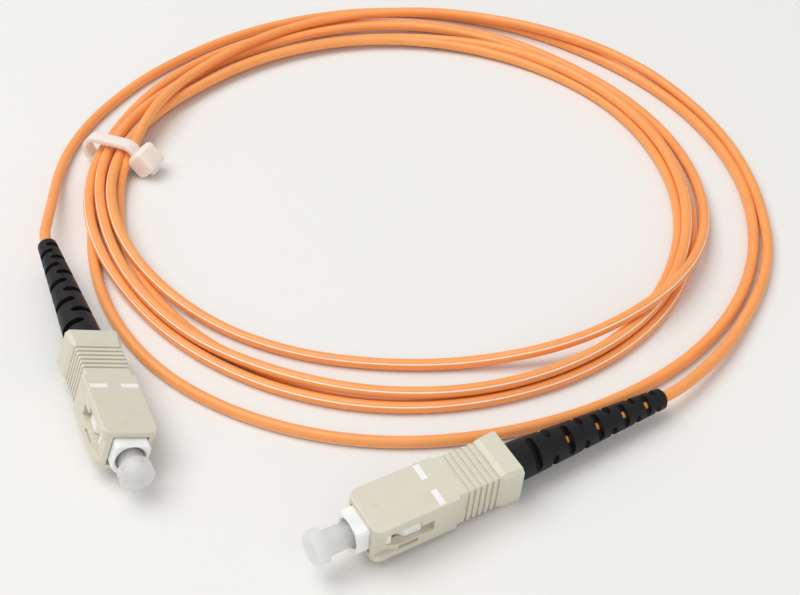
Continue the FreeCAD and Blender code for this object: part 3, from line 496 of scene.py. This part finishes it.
def tube(name, line, radius, turn_marks):
    """A round tube along a line, with UVs round and along it."""
    lengths = running_lengths(line)
    whole = lengths[-1]
    mesh = bmesh.new()
    uv = mesh.loops.layers.uv.new("round_and_along")
    rings = []
    for index, centre in enumerate(line):
        before, after = line[max(index - 1, 0)], line[min(index + 1, len(line) - 1)]
        along = (after - before).normalized()
        outward = along.cross(Vector((0, 0, 1))).normalized()
        above = outward.cross(along)
        start = math.radians(stripe_angle(lengths[index], *turn_marks)) - math.pi
        ring = []
        for side in range(CABLE_SIDES):
            angle = start + 2 * math.pi * side / CABLE_SIDES
            offset = outward * math.cos(angle) + above * math.sin(angle)
            ring.append(mesh.verts.new(centre + offset * radius))
        rings.append(ring)
    for face, index, side in skin(mesh, rings):
        rounds = (side, side + 1, side + 1, side)
        spots = (index, index, index + 1, index + 1)
        for loop, turn, spot in zip(face.loops, rounds, spots):
            loop[uv].uv = (turn / CABLE_SIDES, lengths[spot] / whole)
    return piece_of(name, mesh)


def nearest_length(line, place):
    """How far along a line its nearest point to a place is."""
    lengths = running_lengths(line)
    index = min(range(len(line)), key=lambda i: (line[i] - place).length)
    return lengths[index]


# --- ferrule springs ------------------------------------------------------------------
def spring_rise(turn, length):
    """How far along its axis the wire is after some turns, with a close turn at each end."""
    pitch = SPRING_WIRE * SPRING_CLOSE_PITCH
    if turn < SPRING_CLOSED:
        return pitch * turn
    if turn > SPRING_TURNS - SPRING_CLOSED:
        return length - pitch * (SPRING_TURNS - turn)
    share = (turn - SPRING_CLOSED) / (SPRING_TURNS - 2 * SPRING_CLOSED)
    return pitch * SPRING_CLOSED + share * (length - 2 * pitch * SPRING_CLOSED)


def make_spring(letter, wire):
    """The ferrule's spring, from its seat in the rear body to the flange's rear face."""
    nose, outward = mount(f"plug_nose_{letter}")
    seat = nose - outward * SPRING_REAR
    end_gap = SPRING_WIRE / 2 + SPRING_CLEARANCE
    room = SPRING_REAR - SPRING_FRONT
    across = outward.orthogonal().normalized()
    upward = outward.cross(across)
    mesh = bmesh.new()
    rings = []
    for step in range(SPRING_TURNS * SPRING_STEPS + 1):
        turn = step / SPRING_STEPS
        spoke = across * math.cos(2 * math.pi * turn) + upward * math.sin(2 * math.pi * turn)
        rise = end_gap + spring_rise(turn, room - 2 * end_gap)
        centre = seat + outward * rise + spoke * SPRING_MEAN_DIAMETER / 2
        ring = []
        for side in range(SPRING_SIDES):
            angle = 2 * math.pi * side / SPRING_SIDES
            offset = spoke * math.cos(angle) + outward * math.sin(angle)
            ring.append(mesh.verts.new(centre + offset * SPRING_WIRE / 2))
        rings.append(ring)
    skin(mesh, rings)
    spring = piece_of(f"coil_spring_{letter}", mesh)
    spring.data.materials.append(wire)
    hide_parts(f"ferrule_spring_{letter}")
    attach(spring, "cord")
    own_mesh(spring)
    return spring


# --- cord and tie ---------------------------------------------------------------------
def make_cord(spring_b):
    """The whole cable from crimp to crimp, as one tube through both leads and the coil."""
    start = plug_points("a") + [Vector(p) for p in ROUTE_A]
    turns = coil_points()[::-1]
    end = [Vector(p) for p in ROUTE_B[::-1]] + plug_points("b")[::-1]
    line = cord_line(start + turns + end)
    marks = (nearest_length(line, start[-1]), nearest_length(line, end[0]))
    cord = tube("fibre_cable", line, CABLE_DIAMETER / 2, marks)
    cord.data.materials.append(jacket_material())
    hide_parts("cable_lead_a", "cable_coil", "cable_lead_b")
    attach(cord, "cord")
    kinds = ("grip", "insertion_marks", "plug_frame", "ferrule", "ferrule_flange", "buffered_fibre",
             "stop_ring", "strain_tube", "aramid_yarn", "crimp_sleeve", "boot", "dust_cap")
    on_cord = [frame["nodes"][f"{kind}_b"] for kind in kinds]
    on_cord += [frame["nodes"]["cable_tie"], spring_b]


def make_tie():
    """The cable tie keeps its CAD shape and gets its nylon, cream with a painted pink glow."""
    # Partly its own cream colour, partly painted light: the pink stands for orange light from the
    # cable shining through the strap.
    nylon = moulded("tie_nylon_painted_orange_glow", (0.96, 0.81, 0.74, 1), 0.35, 2500, 0.000010,
                    mottle=0.02, subsurface=0.8, reach=0.002)
    dress(frame["nodes"]["cable_tie"], nylon)


# --- floor and light ------------------------------------------------------------------
def make_floor():
    """A plain pale sheet under the part."""
    half = FLOOR_SIZE / 2
    data = bpy.data.meshes.new("floor")
    corners = [(-half, -half, 0), (half, -half, 0), (half, half, 0), (-half, half, 0)]
    data.from_pydata(corners, [], [(0, 1, 2, 3)])
    floor = bpy.data.objects.new("floor", data)
    bpy.context.scene.collection.objects.link(floor)
    material, tree, shader = new_material("floor_paper")
    shader.inputs["Base Color"].default_value = FLOOR_COLOUR
    shader.inputs["Roughness"].default_value = FLOOR_ROUGHNESS
    shader.inputs["Specular IOR Level"].default_value = FLOOR_GLOSS
    data.materials.append(material)


def make_lamp(name, place, size, power):
    """A square soft lamp at a place, facing the middle of the coil."""
    data = bpy.data.lights.new(name, "AREA")
    data.size = size
    data.energy = power
    lamp = bpy.data.objects.new(name, data)
    direction = Vector((*COIL_CENTRE, 0.0)) - Vector(place)
    turn = direction.to_track_quat("-Z", "Y").to_matrix().to_4x4()
    lamp.matrix_world = Matrix.Translation(place) @ turn
    bpy.context.scene.collection.objects.link(lamp)


def make_light():
    """Two soft lamps, one high behind the coil and one behind the camera, and an even surround."""
    for name, (place, size, power) in LAMPS.items():
        make_lamp(name, place, size, power)
    world = bpy.data.worlds.new("surround")
    world.use_nodes = True
    background = next(n for n in world.node_tree.nodes if n.type == "BACKGROUND")
    background.inputs["Color"].default_value = (1.0, 1.0, 1.0, 1.0)
    background.inputs["Strength"].default_value = SURROUND_STRENGTH
    bpy.context.scene.world = world
    bpy.context.scene.view_settings.view_transform = "Standard"


# --- the scene ------------------------------------------------------------------------
make_camera()
wire_metal = metal("spring_wire", (0.55, 0.55, 0.55, 1), 0.30, 1200)
springs = {letter: make_spring(letter, wire_metal) for letter in "ab"}
make_cord(springs["b"])
make_tie()
finish_nodes()
make_floor()
make_light()
